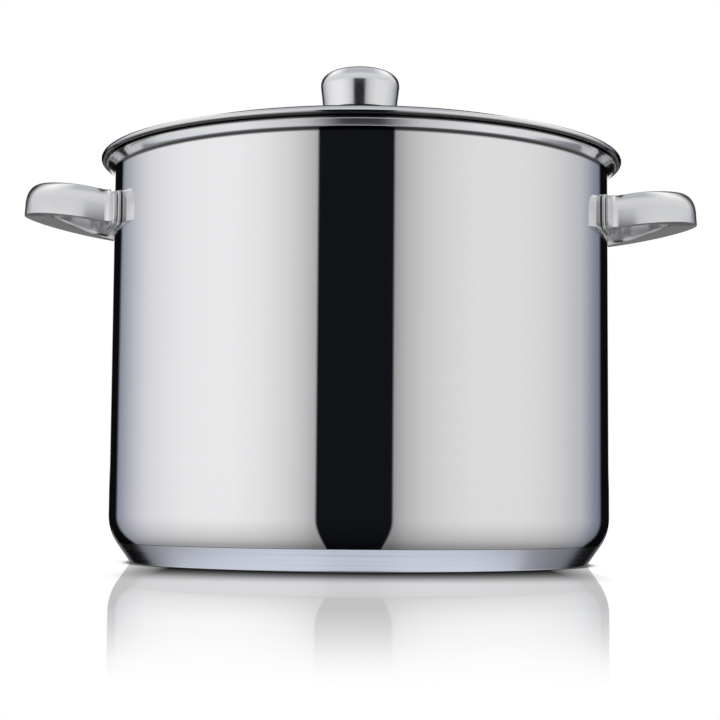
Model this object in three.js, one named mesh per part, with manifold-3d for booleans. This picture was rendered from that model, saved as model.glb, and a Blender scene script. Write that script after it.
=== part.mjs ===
// Water bath canner: a stainless stock pot with an encapsulated base, a domed glass lid and a wire jar rack.
// Millimetres, +Z up. The origin is the centre of the underside of the base; the handles point along X.
import * as THREE from 'three'
import { mergeVertices } from 'three/addons/utils/BufferGeometryUtils.js'
import Module from 'manifold-3d'

// ---------- driving dimensions ----------
const GAP = 0.3 // clearance left between pieces that touch
const ROUND = 48 // facets round the large turned pieces
const SMALL_ROUND = 24 // facets round the small turned pieces
const WIRE_SIDES = 6 // facets round a wire
const QUARTER = Math.PI / 2
const HALF = Math.PI

const pot = {
  radius: 160.8,
  wall: 0.8,
  corner: { radius: 31, startZ: 30, sweep: rad(33) }, // gentle arc above the seam
  heel: { radius: 11, ease: rad(6) }, // tighter arc hidden inside the base cap
  flare: { radius: 7, startZ: 250.5, sweep: rad(68) }
}

const cap = { bottomRadius: 147.4, wall: 0.6, edgeRound: 1.6 }

const core = { radius: 143.5, chamfer: 2.5 }

const ear = {
  noseX: 172.5, // centre of the nose arc
  noseRadius: 48.5, // outer face
  width: 17,
  height: 20.6,
  wallX: 150,
  midZ: 223.4, // height of the section's centre at the wall
  rise: 0.135, // slope of the whole ear
  softEdge: 8, // round along the upper edges
  crispEdge: 1.8, // round along the lower outer edge
  stations: 26 // sections along the whole ear
}

const foot = { midZ: 221.5, flangeThick: 2.2, flangeHeight: 21.4, from: rad(9.6), to: rad(21.2) }

const plate = { thick: 2, height: 22.6, from: rad(9.1), to: rad(21.7) }

const glass = { edgeRadius: 154.5, domeRadius: 475, apexZ: 288, thick: 4, screwHole: 4 }

const seal = { thick: 0.9, lap: 3.3 }

const band = {
  thick: 0.8,
  lap: 5.2,
  skirtZ: 248,
  webZ: 258.05,
  beadRadius: 2,
  beadCentre: { r: 167.7, z: 258.9 }
}

const vent = { offset: 95, hole: 5, bore: 2.5, flange: 8, thick: 0.8 }

const knob = {
  radius: 26,
  crownZ: 312.4, // widest level
  crownHeight: 12.3,
  crownPower: 2.4, // how square the crown is
  waistRadius: 25,
  waistZ: 304,
  footRadius: 24.2,
  wall: 1.2,
  baseRadius: 19,
  baseHeight: 6.6,
  baseStep: 1, // height of the base's flat rim
  neckHeight: 2,
  neckRadius: 15,
  insertHeight: 18
}

const screw = { radius: 2.5, headRadius: 5.5, headHeight: 2.9, headEdge: 1.5, tipZ: 308, hole: 3.2 }

const washer = { radius: 9, thick: 1, clearance: 0.4 } // clearance under the curved glass

const rack = {
  wire: 2, // wire radius of the rings, floor and lifting handles
  thinWire: 1.5, // wire radius of the dividers
  baseRadius: 139,
  hubRadius: 46,
  floorLift: 10, // floor wires above the pot floor
  floorPitch: 36,
  height: 84, // divider tops above the pot floor
  bend: 9,
  eye: { radius: 4, wire: 1.3 }
}

const lifter = { halfWidth: 50, length: 124, stub: 9, lean: rad(8), bend: 12, footBend: 3, sides: 8 }

// ---------- helpers ----------
function rad(degrees) {
  return (degrees * Math.PI) / 180
}

function polar(radius, angle) {
  return [radius * Math.cos(angle), radius * Math.sin(angle)]
}

// Points on an arc in the (r, z) plane.
function arc(centreR, centreZ, radius, from, to, steps) {
  return Array.from({ length: steps + 1 }, (_, i) => {
    const angle = from + ((to - from) * i) / steps
    return [centreR + radius * Math.cos(angle), centreZ + radius * Math.sin(angle)]
  })
}

// A ring with the given closed outline, or a solid of revolution if the outline touches the axis.
function turned(outline, facets = ROUND) {
  const points = outline.map(([r, z]) => new THREE.Vector2(r, z))
  if (outline[0][0] > 0) points.push(points[0].clone())
  return new THREE.LatheGeometry(points, facets).rotateX(QUARTER)
}

// A wire that runs through its points, with one ring of vertices at each.
class WirePath extends THREE.CatmullRomCurve3 {
  getPointAt(u) {
    return this.getPoint(u)
  }

  getTangentAt(u) {
    return this.getTangent(u)
  }
}

function wire(points, radius, sides) {
  const section = new THREE.Shape(
    Array.from({ length: sides }, (_, i) => new THREE.Vector2(...polar(radius, (2 * Math.PI * i) / sides)))
  )
  const options = { steps: points.length - 1, extrudePath: new WirePath(points) }
  return new THREE.ExtrudeGeometry(section, options)
}

// The corners of a bent wire, each replaced by three points on its bend.
function bent(corners, bend) {
  return corners.flatMap((corner, i) => {
    if (i === 0 || i === corners.length - 1) return [corner]
    const back = corners[i - 1].clone().sub(corner).normalize().multiplyScalar(bend)
    const ahead = corners[i + 1].clone().sub(corner).normalize().multiplyScalar(bend)
    const middle = back.clone().add(ahead).multiplyScalar(0.25)
    return [back, middle, ahead].map((step) => step.add(corner))
  })
}

function straightWire(from, to, radius, sides) {
  const run = to.clone().sub(from)
  const rod = new THREE.CylinderGeometry(radius, radius, run.length(), sides)
  rod.applyQuaternion(new THREE.Quaternion().setFromUnitVectors(new THREE.Vector3(0, 1, 0), run.normalize()))
  const middle = from.clone().add(to).multiplyScalar(0.5)
  return rod.translate(middle.x, middle.y, middle.z)
}

// Part of a tube wall: from one radius to another, between two angles, between two heights.
function wallSector(inner, outer, from, to, bottom, height) {
  const sector = new THREE.Shape().absarc(0, 0, outer, from, to, false).absarc(0, 0, inner, to, from, true)
  const options = { depth: height, bevelEnabled: false, curveSegments: 6 }
  return new THREE.ExtrudeGeometry(sector, options).translate(0, 0, bottom)
}

// ---------- booleans ----------
const wasm = await Module()
wasm.setup()

function solid(geometry) {
  const bare = geometry.clone()
  bare.deleteAttribute('normal')
  bare.deleteAttribute('uv')
  const welded = mergeVertices(bare, 1e-4)
  return new wasm.Manifold(
    new wasm.Mesh({
      numProp: 3,
      vertProperties: new Float32Array(welded.attributes.position.array),
      triVerts: new Uint32Array(welded.index.array)
    })
  )
}

function geometryOf(manifold) {
  const mesh = manifold.getMesh()
  const geometry = new THREE.BufferGeometry()
  geometry.setAttribute('position', new THREE.BufferAttribute(mesh.vertProperties, 3))
  geometry.setIndex(new THREE.BufferAttribute(mesh.triVerts, 1))
  geometry.computeVertexNormals()
  return geometry
}

// ---------- materials ----------
const material = (color, roughness, metalness, extra = {}) => () =>
  new THREE.MeshStandardMaterial({ color, roughness, metalness, ...extra })

const polishedSteel = material(0xc9cbcf, 0.16, 1)
const brushedSteel = material(0xbfc1c6, 0.3, 1)
const aluminium = material(0xb9babd, 0.45, 1)
const clearGlass = material(0xdfe9e6, 0.05, 0, { transparent: true, opacity: 0.35 })
const silicone = material(0x6f7376, 0.6, 0)
const phenolic = material(0x1b1b1d, 0.45, 0)
const chromedWire = material(0xd0d2d4, 0.12, 1)

const canner = new THREE.Group()

function place(name, geometry, makeMaterial, parent = canner) {
  const mesh = new THREE.Mesh(geometry, makeMaterial())
  mesh.name = name
  parent.add(mesh)
  return mesh
}

// ---------- pot and base ----------
const cornerCentre = { r: pot.radius - pot.corner.radius, z: pot.corner.startZ }
const heelReach = pot.corner.radius - pot.heel.radius
const heelCentre = {
  r: cornerCentre.r + heelReach * Math.cos(pot.corner.sweep),
  z: cornerCentre.z - heelReach * Math.sin(pot.corner.sweep)
}
const flareCentre = { r: pot.radius + pot.flare.radius, z: pot.flare.startZ }
const potInside = pot.radius - pot.wall
const heelRadius = pot.heel.radius - cap.wall - GAP // the shell steps in here, so the cap's side lies flush
const floorUnder = heelCentre.z - heelRadius
const floorTop = floorUnder + pot.wall

// One side of the shell, from the axis to the lip, set in from the outside by `inset`.
function shellSide(inset) {
  const { corner, heel, flare } = pot
  const ease = inset > 0 ? heel.ease : 0
  return [
    [0, floorUnder + inset],
    ...arc(heelCentre.r, heelCentre.z, heelRadius - inset, -QUARTER, -corner.sweep - ease, 3),
    ...arc(cornerCentre.r, cornerCentre.z, corner.radius - inset, -corner.sweep + ease, 0, 3),
    ...arc(flareCentre.r, flareCentre.z, flare.radius + inset, HALF, HALF - flare.sweep, 4)
  ]
}

place('pot_body', turned([...shellSide(0), ...shellSide(pot.wall).reverse()]), polishedSteel)

const coreTop = floorUnder - GAP
const coreBottom = cap.wall + GAP
place(
  'base_core',
  turned([
    [0, coreBottom],
    [core.radius - core.chamfer, coreBottom],
    [core.radius, coreBottom + core.chamfer],
    [core.radius, coreTop],
    [0, coreTop]
  ]),
  aluminium
)

// The cap's side leans out to the seam and ends just below the shell's step.
const [outR, outZ] = polar(1, -pot.corner.sweep)
const rim = {
  r: cornerCentre.r + pot.corner.radius * outR + GAP * outZ,
  z: cornerCentre.z + pot.corner.radius * outZ - GAP * outR
}
const capRound = { r: cap.bottomRadius - cap.edgeRound, z: cap.edgeRound }
place(
  'base_cap',
  turned([
    [0, 0],
    ...arc(capRound.r, capRound.z, cap.edgeRound, -QUARTER, -pot.corner.sweep, 3),
    [rim.r, rim.z],
    [rim.r - cap.wall * outR, rim.z - cap.wall * outZ],
    ...arc(capRound.r, capRound.z, cap.edgeRound - cap.wall, -pot.corner.sweep, -QUARTER, 3),
    [0, cap.wall]
  ]),
  polishedSteel
)

// ---------- side handles ----------
const plateOuter = pot.radius + GAP + plate.thick
const flangeInner = plateOuter + GAP

// Centre line of the ear in plan: straight leg, nose arc, straight leg.
function earPlan() {
  const bendRadius = ear.noseRadius - ear.width / 2
  const legEnd = ear.wallX - ear.width / 2
  const plan = new THREE.Path()
  plan.moveTo(legEnd, -bendRadius)
  plan.lineTo(ear.noseX, -bendRadius)
  plan.absarc(ear.noseX, 0, bendRadius, -QUARTER, QUARTER, false)
  plan.lineTo(legEnd, bendRadius)
  return plan
}

// Section of the ear: x runs down, y runs towards the finger gap. The lower outer edge is the crisp one.
function earSection() {
  const [halfW, halfH] = [ear.width / 2, ear.height / 2]
  const { softEdge: soft, crispEdge: crisp } = ear
  const inner = soft / 2
  const section = new THREE.Shape()
  section.moveTo(halfH - crisp, -halfW)
  section.quadraticCurveTo(halfH, -halfW, halfH, -halfW + crisp)
  section.lineTo(halfH, halfW - inner)
  section.quadraticCurveTo(halfH, halfW, halfH - inner, halfW)
  section.lineTo(-halfH + inner, halfW)
  section.quadraticCurveTo(-halfH, halfW, -halfH, halfW - inner)
  section.lineTo(-halfH, -halfW + soft)
  section.quadraticCurveTo(-halfH, -halfW, -halfH + soft, -halfW)
  return section
}

// The ear climbs as it leaves the wall.
function lifted(geometry) {
  const position = geometry.attributes.position
  for (let i = 0; i < position.count; i++) {
    position.setZ(i, position.getZ(i) + ear.midZ + ear.rise * (position.getX(i) - ear.wallX))
  }
  return geometry
}

function earGeometry() {
  const line = earPlan().getSpacedPoints(ear.stations).map((p) => new THREE.Vector3(p.x, p.y, 0))
  const tube = new THREE.ExtrudeGeometry(earSection(), {
    steps: line.length - 1,
    curveSegments: 3,
    extrudePath: new THREE.CatmullRomCurve3(line)
  })
  const wallSide = new THREE.CylinderGeometry(flangeInner, flangeInner, 2 * ear.midZ, 2 * ROUND)
  const trimmed = solid(lifted(tube)).subtract(solid(wallSide.rotateX(QUARTER).translate(0, 0, ear.midZ)))
  const flangeOuter = flangeInner + foot.flangeThick
  const flangeZ = foot.midZ - foot.flangeHeight / 2
  const flange = (from, to) => solid(wallSector(flangeInner, flangeOuter, from, to, flangeZ, foot.flangeHeight))
  return geometryOf(trimmed.add(flange(foot.from, foot.to)).add(flange(-foot.to, -foot.from)))
}

const sides = { right: 0, left: HALF }
for (const [side, turn] of Object.entries(sides)) {
  place(`handle_${side}`, earGeometry(), polishedSteel).rotation.z = turn
  for (const [end, sign] of Object.entries({ front: -1, back: 1 })) {
    const along = turn === 0 ? sign : -sign
    const [from, to] = along > 0 ? [plate.from, plate.to] : [-plate.to, -plate.from]
    const sector = wallSector(pot.radius + GAP, plateOuter, from, to, foot.midZ - plate.height / 2, plate.height)
    place(`handle_plate_${side}_${end}`, sector, brushedSteel).rotation.z = turn
  }
}

// ---------- lid ----------
const domeCentreZ = glass.apexZ - glass.domeRadius
const domeZ = (r, lift = 0) => domeCentreZ + Math.sqrt((glass.domeRadius + lift) ** 2 - r * r)

// Points along the dome from one radius to another, raised off its top surface by `lift`.
function domeLine(fromR, toR, lift, steps) {
  return Array.from({ length: steps + 1 }, (_, i) => {
    const r = fromR + ((toR - fromR) * i) / steps
    return [r, domeZ(r, lift)]
  })
}

// Turns a piece made upright on the axis to sit square on the dome at the vent.
function atVent(geometry) {
  const tilt = Math.asin(vent.offset / glass.domeRadius)
  return geometry.translate(0, 0, glass.domeRadius).rotateX(-tilt).translate(0, 0, domeCentreZ)
}

const ventDrill = new THREE.CylinderGeometry(vent.hole, vent.hole, 4 * glass.thick, SMALL_ROUND).rotateX(QUARTER)
const dome = turned([
  ...domeLine(glass.screwHole, glass.edgeRadius, 0, 7).reverse(),
  ...domeLine(glass.screwHole, glass.edgeRadius, -glass.thick, 7)
])
place('lid_glass', geometryOf(solid(dome).subtract(solid(atVent(ventDrill)))), clearGlass)

const ventTop = GAP + vent.thick
const ventBottom = -glass.thick - GAP - vent.thick
const ventBarrel = vent.hole - GAP
place(
  'vent_grommet',
  atVent(turned([
    [vent.bore, ventBottom],
    [vent.flange, ventBottom],
    [vent.flange, ventBottom + vent.thick],
    [ventBarrel, ventBottom + vent.thick],
    [ventBarrel, GAP],
    [vent.flange, GAP],
    [vent.flange, ventTop],
    [vent.bore, ventTop]
  ], SMALL_ROUND)),
  brushedSteel
)

// A channel that wraps the glass edge: its two lips run in over and under the glass.
const underGlass = -glass.thick
const sealInside = glass.edgeRadius + GAP
const sealOutside = sealInside + seal.thick
const sealTip = glass.edgeRadius - seal.lap
const sealTop = GAP + seal.thick
const sealUnder = underGlass - sealTop
place(
  'lid_seal',
  turned([
    [sealTip, domeZ(sealTip, GAP)],
    [sealInside, domeZ(sealInside, GAP)],
    [sealInside, domeZ(sealInside, underGlass - GAP)],
    [sealTip, domeZ(sealTip, underGlass - GAP)],
    [sealTip, domeZ(sealTip, sealUnder)],
    [sealOutside, domeZ(sealOutside, sealUnder)],
    [sealOutside, domeZ(sealOutside, sealTop)],
    [sealTip, domeZ(sealTip, sealTop)]
  ]),
  silicone
)

// The steel band: channel round the seal, skirt inside the pot, web over the lip and outer bead.
const bandInside = sealOutside + GAP
const bandOutside = bandInside + band.thick
const bandTip = bandInside - band.lap
const bandTop = sealTop + GAP
const bandUnder = sealUnder - GAP
const bead = band.beadCentre
const beadFrom = -HALF + Math.asin((bead.z - band.webZ) / band.beadRadius)
const beadTo = HALF - Math.asin((band.webZ + band.thick - bead.z) / band.beadRadius)
place(
  'lid_band',
  turned([
    [bandTip, domeZ(bandTip, bandTop)],
    [bandInside, domeZ(bandInside, bandTop)],
    [bandInside, domeZ(bandInside, bandUnder)],
    [bandTip, domeZ(bandTip, bandUnder)],
    [bandTip, domeZ(bandTip, bandUnder - band.thick)],
    [bandInside, domeZ(bandInside, bandUnder - band.thick)],
    [bandInside, band.skirtZ],
    [bandOutside, band.skirtZ],
    [bandOutside, band.webZ],
    ...arc(bead.r, bead.z, band.beadRadius, beadFrom, beadTo, 7),
    [bandOutside, band.webZ + band.thick],
    [bandOutside, domeZ(bandOutside, bandTop + band.thick)],
    [bandTip, domeZ(bandTip, bandTop + band.thick)]
  ]),
  polishedSteel
)

// ---------- knob ----------
const gasketBottom = glass.apexZ + GAP
const baseBottom = gasketBottom + washer.thick + GAP
const baseTop = baseBottom + knob.baseHeight
const shellBottom = baseTop + GAP
const insertTop = shellBottom + knob.insertHeight

function collar(bottom, top, inner, outer) {
  return turned([[inner, bottom], [outer, bottom], [outer, top], [inner, top]], SMALL_ROUND)
}

// One side of the knob shell, set in from the outside by `inset`, from its foot to the top of the crown.
function knobSide(inset) {
  const steps = 7
  const radius = knob.radius - inset
  const height = knob.crownHeight - inset
  const crown = Array.from({ length: steps + 1 }, (_, i) => {
    const angle = (QUARTER * i) / steps
    const squareness = 2 / knob.crownPower
    const r = i === steps ? 0 : radius * Math.cos(angle) ** squareness
    return [r, knob.crownZ + height * Math.sin(angle) ** squareness]
  })
  return [[knob.footRadius - inset, shellBottom], [knob.waistRadius - inset, knob.waistZ], ...crown]
}

place('knob_shell', turned([...knobSide(knob.wall).reverse(), ...knobSide(0)], SMALL_ROUND), polishedSteel)

const insertRadius = knob.footRadius - knob.wall - GAP
const screwTop = screw.tipZ + GAP
place(
  'knob_insert',
  turned([
    [0, screwTop],
    [screw.hole, screwTop],
    [screw.hole, shellBottom],
    [insertRadius, shellBottom],
    [insertRadius, insertTop],
    [0, insertTop]
  ], SMALL_ROUND),
  phenolic
)
place(
  'knob_base',
  turned([
    [screw.hole, baseBottom],
    [knob.baseRadius, baseBottom],
    [knob.baseRadius, baseBottom + knob.baseStep],
    [knob.neckRadius, baseTop - knob.neckHeight],
    [knob.neckRadius, baseTop],
    [screw.hole, baseTop]
  ], SMALL_ROUND),
  brushedSteel
)
place('knob_gasket', collar(gasketBottom, gasketBottom + washer.thick, screw.hole, knob.neckRadius), silicone)

const washerTop = glass.apexZ - glass.thick - washer.clearance
const headTop = washerTop - washer.thick - GAP
place('knob_washer', collar(washerTop - washer.thick, washerTop, screw.hole, washer.radius), silicone)
place(
  'knob_screw',
  turned([
    [0, headTop - screw.headHeight],
    [screw.headRadius - screw.headEdge, headTop - screw.headHeight],
    [screw.headRadius, headTop - screw.headHeight + screw.headEdge],
    [screw.headRadius, headTop],
    [screw.radius, headTop],
    [screw.radius, screw.tipZ],
    [0, screw.tipZ]
  ], SMALL_ROUND / 2),
  brushedSteel
)

// ---------- jar rack ----------
const footZ = floorTop + GAP
const floorWireZ = floorTop + rack.floorLift
const ringZ = floorWireZ + 2 * rack.wire + GAP
const topZ = floorTop + rack.height
const spacing = rack.wire + rack.thinWire + GAP

function ring(name, radius, z, facets) {
  place(name, new THREE.TorusGeometry(radius, rack.wire, WIRE_SIDES, facets).translate(0, 0, z), chromedWire)
}

ring('rack_base_ring', rack.baseRadius, ringZ, ROUND)
ring('rack_top_ring', rack.baseRadius, topZ - rack.bend, ROUND)
ring('rack_hub_ring', rack.hubRadius, ringZ, SMALL_ROUND)
ring('rack_hub_top_ring', rack.hubRadius, topZ - rack.bend, SMALL_ROUND)

const floorWires = [-3, -2, -1, 0, 1, 2, 3]
floorWires.forEach((step, i) => {
  const y = step * rack.floorPitch
  const reach = Math.sqrt(rack.baseRadius ** 2 - y ** 2)
  const ends = [-reach, reach].map((x) => new THREE.Vector3(x, y, floorWireZ))
  place(`rack_floor_wire_${i + 1}`, straightWire(...ends, rack.wire, WIRE_SIDES), chromedWire)
})

// Each divider is one wire bent into an arch between two jars; its ends are the feet of the rack.
const outerLeg = rack.baseRadius - spacing - GAP
const innerLeg = rack.hubRadius + spacing + GAP
const dividers = 6
for (let i = 0; i < dividers; i++) {
  const arch = [[outerLeg, footZ], [outerLeg, topZ], [innerLeg, topZ], [innerLeg, footZ]]
  const corners = arch.map(([r, z]) => new THREE.Vector3(r, 0, z))
  const line = bent(corners, rack.bend)
  const divider = place(`rack_divider_${i + 1}`, wire(line, rack.thinWire, WIRE_SIDES), chromedWire)
  divider.rotation.z = (2 * Math.PI * (i + 0.5)) / dividers
}

// Lifting handles: their turned-out ends swing in eyes on the top ring, and they lean on the pot wall.
const { eye } = rack
const eyeY = lifter.halfWidth + lifter.stub / 2
const pivotX = Math.sqrt(rack.baseRadius ** 2 - eyeY ** 2)
const pivotZ = topZ - rack.bend + rack.wire + GAP + eye.radius + eye.wire
for (const [side, sign] of Object.entries({ right: 1, left: -1 })) {
  const { halfWidth, length, stub, lean, bend, footBend, sides: facets } = lifter
  const up = new THREE.Vector3(sign * Math.sin(lean), 0, Math.cos(lean)).multiplyScalar(length)
  const pivot = (y) => new THREE.Vector3(sign * pivotX, y, pivotZ)
  const loop = [
    pivot(-halfWidth - stub),
    pivot(-halfWidth),
    pivot(-halfWidth).add(up),
    pivot(halfWidth).add(up),
    pivot(halfWidth),
    pivot(halfWidth + stub)
  ]
  const short = bent(loop, footBend)
  const long = bent(loop, bend)
  const points = [short[0], ...short.slice(1, 4), ...long.slice(4, 10), ...short.slice(10, 13), short[13]]
  place(`rack_handle_${side}`, wire(points, rack.wire, facets), chromedWire)
  for (const [end, way] of Object.entries({ front: -1, back: 1 })) {
    const loopEye = new THREE.TorusGeometry(eye.radius, eye.wire, WIRE_SIDES, 2 * WIRE_SIDES).rotateX(QUARTER)
    place(`rack_eye_${side}_${end}`, loopEye.translate(sign * pivotX, way * eyeY, pivotZ), chromedWire)
  }
}

export default canner
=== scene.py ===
# Looks of the water bath canner, built around its CAD frame. Metres, +Z up, handles along X.
import math

import bpy
from mathutils import Matrix, Vector


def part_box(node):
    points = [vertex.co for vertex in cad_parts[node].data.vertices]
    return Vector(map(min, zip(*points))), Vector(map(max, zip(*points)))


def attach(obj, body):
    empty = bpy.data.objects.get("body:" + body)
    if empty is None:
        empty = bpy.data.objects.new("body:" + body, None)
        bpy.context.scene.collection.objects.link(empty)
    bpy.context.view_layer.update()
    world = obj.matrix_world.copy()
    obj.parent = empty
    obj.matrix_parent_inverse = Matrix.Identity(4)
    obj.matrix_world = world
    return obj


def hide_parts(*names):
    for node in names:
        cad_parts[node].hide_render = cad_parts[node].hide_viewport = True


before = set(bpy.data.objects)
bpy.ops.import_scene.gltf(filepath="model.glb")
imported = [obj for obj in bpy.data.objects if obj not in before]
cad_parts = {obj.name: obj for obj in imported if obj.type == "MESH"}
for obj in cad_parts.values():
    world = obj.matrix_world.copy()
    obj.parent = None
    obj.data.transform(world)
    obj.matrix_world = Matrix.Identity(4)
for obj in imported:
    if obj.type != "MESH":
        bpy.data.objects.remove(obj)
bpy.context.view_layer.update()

# ---------- sizes ----------
GAP = 0.0003  # clearance between pieces that touch
FINE = 256  # facets round the large turned pieces
SMALL = 96  # facets round the small turned pieces
QUARTER = math.pi / 2
ON_AXIS = 1e-9  # a smaller radius is a point on the axis
SHARP = math.radians(40)  # a bend of more than this stays a crisp edge
SIDE_SHARE = 0.45  # the most of an outline's side that one rounded corner takes

POT_RADIUS = 0.1608
POT_WALL = 0.0008
CORNER_RADIUS = 0.031
CORNER_START = 0.030
SEAM_ANGLE = math.radians(33)
HEEL_RADIUS = 0.011
HEEL_EASE = math.radians(6)
FLARE_START = 0.2505
FLARE = ((0.0014, 45), (0.0058, 53), (0.0077, 72))  # length along the flare and lean in degrees there
FLARE_STEPS = 8

CAP_WALL = 0.0006
CAP_BOTTOM_RADIUS = 0.1474
CAP_EDGE = 0.0016
CORE_RADIUS = 0.1435
CORE_CHAMFER = 0.0025
CORE_EDGE = 0.0008

GLASS_RADIUS = 0.1545
DOME_RADIUS = 0.475
DOME_STEPS = 40
GLASS_THICK = 0.004
GLASS_EDGE = 0.0012
GLASS_SHARP = math.radians(60)
SCREW_HOLE = 0.004
SEAL_THICK = 0.0009
SEAL_LAP = 0.0033
SEAL_EDGE = 0.0003
BAND_THICK = 0.0008
BAND_LAP = 0.0052
BAND_SKIRT_Z = 0.248
BAND_WEB_Z = 0.25805
BAND_FOLD = 0.00035
BAND_SHOULDER = 0.0006
BEAD_RADIUS = 0.002
BEAD_CENTRE = (0.1677, 0.2589)
BEAD_PAINTED_SHADE_Z = 0.2569  # the level under the bead where painted shade darkens its steel
VENT_OFFSET = 0.095
VENT_HOLE = 0.005
VENT_BORE = 0.0025
VENT_FLANGE = 0.008
VENT_THICK = 0.0008
VENT_EDGE = 0.0004
DRILL_REACH = 0.01

KNOB_RADIUS = 0.026
KNOB_CROWN_Z = 0.3124
KNOB_CROWN_HEIGHT = 0.0123
KNOB_CROWN_POWER = 2.6
KNOB_CROWN_STEPS = 28
KNOB_SHIFT = -0.0012  # the knob sits off centre by part of its screw hole's clearance
KNOB_WAIST = (0.025, 0.304)
KNOB_WAIST_BEND = 0.006
KNOB_FOOT_RADIUS = 0.0242
KNOB_WALL = 0.0012
KNOB_HOLE = 0.0032
KNOB_EDGE = 0.0008
COLLAR_RIM = 0.001
COLLAR_NECK = 0.015
COLLAR_STEP = 0.002
SCREW_SHANK = 0.0025
SCREW_HEAD = 0.0029
SCREW_CHAMFER = 0.0015
SCREW_EDGE = 0.0006
WASHER_EDGE = 0.0003

EAR_ROOT_X = 0.1585  # where the leg meets the flange
EAR_WIDEST_X = 0.172
EAR_HALF_WIDTH = 0.0478
EAR_ROOT_HALF_WIDTH = 0.0462
EAR_NOSE_START = 0.171
EAR_NOSE_REACH = 0.0490
EAR_NOSE_POWER = 1.8
EAR_NOSE_STEPS = 30
EAR_LEG_REACHES = (0.0, 0.0006, 0.0012, 0.0018, 0.0026, 0.0036, 0.0048, 0.0062, 0.0078, 0.0096)
EAR_LEG_WIDTH = 0.0105
EAR_NOSE_WIDTH = 0.0175
EAR_WIDTH_SPAN = (0.180, 0.210)
EAR_HEIGHT = 0.0213
EAR_RIDGE = 0.99  # height of the ridge as a share of the ear's
EAR_FACE_STEPS = 24
EAR_LEG_FACE_POWER = 3.6  # squareness of the outer face
EAR_NOSE_FACE_POWER = 3.3
EAR_NOSE_LEAN = math.tan(math.radians(1.5))
EAR_FACE_SPAN = (0.1585, 0.1885)
EAR_TOP_EDGE = 0.0030
EAR_INNER_EDGE = 0.0024
EAR_LEG_EDGE = 0.0012
EAR_NOSE_EDGE = 0.0038
EAR_EDGE_SPAN = (0.196, 0.218)
EAR_FILLET = 0.0045  # where a leg widens into its flange
EAR_FILLET_RISE = 0.15  # the fillet's share above and below the leg
EAR_SET = {"right": (0.2131, 0.135), "left": (0.2143, 0.165)}  # underside at the root, and rise
EAR_SHARP = math.radians(50)

FLANGE_INNER = 0.1634
FLANGE_THICK = 0.0022
FLANGE_OUTER = FLANGE_INNER + FLANGE_THICK
FLANGE_Z = 0.2215
FLANGE_HEIGHT = 0.0214
FLANGE_SPAN = (math.radians(9.6), math.radians(21.2))
PLATE_INNER = 0.1611
PLATE_THICK = 0.0020
PLATE_HEIGHT = 0.0226
PLATE_SPAN = (math.radians(9.1), math.radians(21.7))
SLAB_STEPS = 64
SLAB_SQUARENESS = 7
SLAB_EDGE = 0.0004
JOINED_SHARP = math.radians(38)

WIRE = 0.002
THIN_WIRE = 0.0015
WIRE_SIDES = 20
WIRE_TIP = 0.4  # how far a rounded end stands out, in wire radii
RACK_BEND = 0.009
FLOOR_WIRES = 7
ROD_STEPS = 12
DIVIDERS = 6
DIVIDER_OUTER = 0.1349
DIVIDER_INNER = 0.0501
DIVIDER_FOOT_Z = 0.010107  # a gap above the pot's floor
DIVIDER_TOP_Z = 0.093807
LIFTER_BEND = 0.012
LIFTER_FOOT_BEND = 0.003
LIFTER_HALF_WIDTH = 0.050
LIFTER_LENGTH = 0.124
LIFTER_STUB = 0.009
LIFTER_LEAN = math.radians(8)
EYE_RADIUS = 0.004
EYE_WIRE = 0.0013
EYE_STEPS = 32

FOOT_SATIN = 0.28  # roughness added on the handles' feet
SATIN_FADE = 0.001
CREASE_SATIN = 0.10  # roughness added above a crease
PAINTED_CREASE_SPAN = (0.0006, 0.0018)  # the painted crease shade is darkest within the first distance, and ends at the second
# painted shade: the dark colour laid along a crease, where shade falls in the fold
PAINTED_CREASE_SHADE = (0.02, 0.018, 0.018)


# ---------- outlines ----------
def arc(centre, radius, start, end, steps):
    """Points on an arc in the (r, z) plane."""
    points = []
    for i in range(steps + 1):
        angle = start + (end - start) * i / steps
        points.append((centre[0] + radius * math.cos(angle), centre[1] + radius * math.sin(angle)))
    return points


def softened(corners, radius, steps=4, closed=True):
    """The outline with each corner replaced by a small arc. A corner on the axis stays."""
    count = len(corners)
    points = []
    for i, corner in enumerate(corners):
        here = Vector(corner)
        if here.x < ON_AXIS or (not closed and i in (0, count - 1)):
            points.append(tuple(here))
            continue
        back = Vector(corners[i - 1]) - here
        ahead = Vector(corners[(i + 1) % count]) - here
        reach = min(radius, SIDE_SHARE * back.length, SIDE_SHARE * ahead.length)
        start = here + back.normalized() * reach
        end = here + ahead.normalized() * reach
        for step in range(steps + 1):
            t = step / steps
            points.append(tuple(start * (1 - t) ** 2 + here * 2 * t * (1 - t) + end * t * t))
    return points


# ---------- meshes ----------
def mesh_object(name, points, faces, sharp=SHARP):
    mesh = bpy.data.meshes.new(name)
    mesh.from_pydata([tuple(p) for p in points], [], faces)
    mesh.update()
    mesh.shade_smooth()
    mesh.set_sharp_from_angle(angle=sharp)
    obj = bpy.data.objects.new(name, mesh)
    bpy.context.scene.collection.objects.link(obj)
    return obj


def turned(name, outline, facets=FINE, sharp=SHARP):
    """A ring with the closed outline, anticlockwise in (r, z), or a solid from axis to axis."""
    points, rings = [], []
    for r, z in outline:
        rings.append(len(points))
        if r < ON_AXIS:
            points.append((0, 0, z))
            continue
        for i in range(facets):
            turn = 2 * math.pi * i / facets
            points.append((r * math.cos(turn), r * math.sin(turn), z))
    on_axis = [r < ON_AXIS for r, _ in outline]
    faces = []
    for a in range(len(outline)):
        b = (a + 1) % len(outline)
        if on_axis[a] and on_axis[b]:
            continue
        for i in range(facets):
            j = (i + 1) % facets
            low = [rings[a]] if on_axis[a] else [rings[a] + i, rings[a] + j]
            high = [rings[b]] if on_axis[b] else [rings[b] + j, rings[b] + i]
            faces.append(low + high)
    return mesh_object(name, points, faces, sharp)


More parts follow.
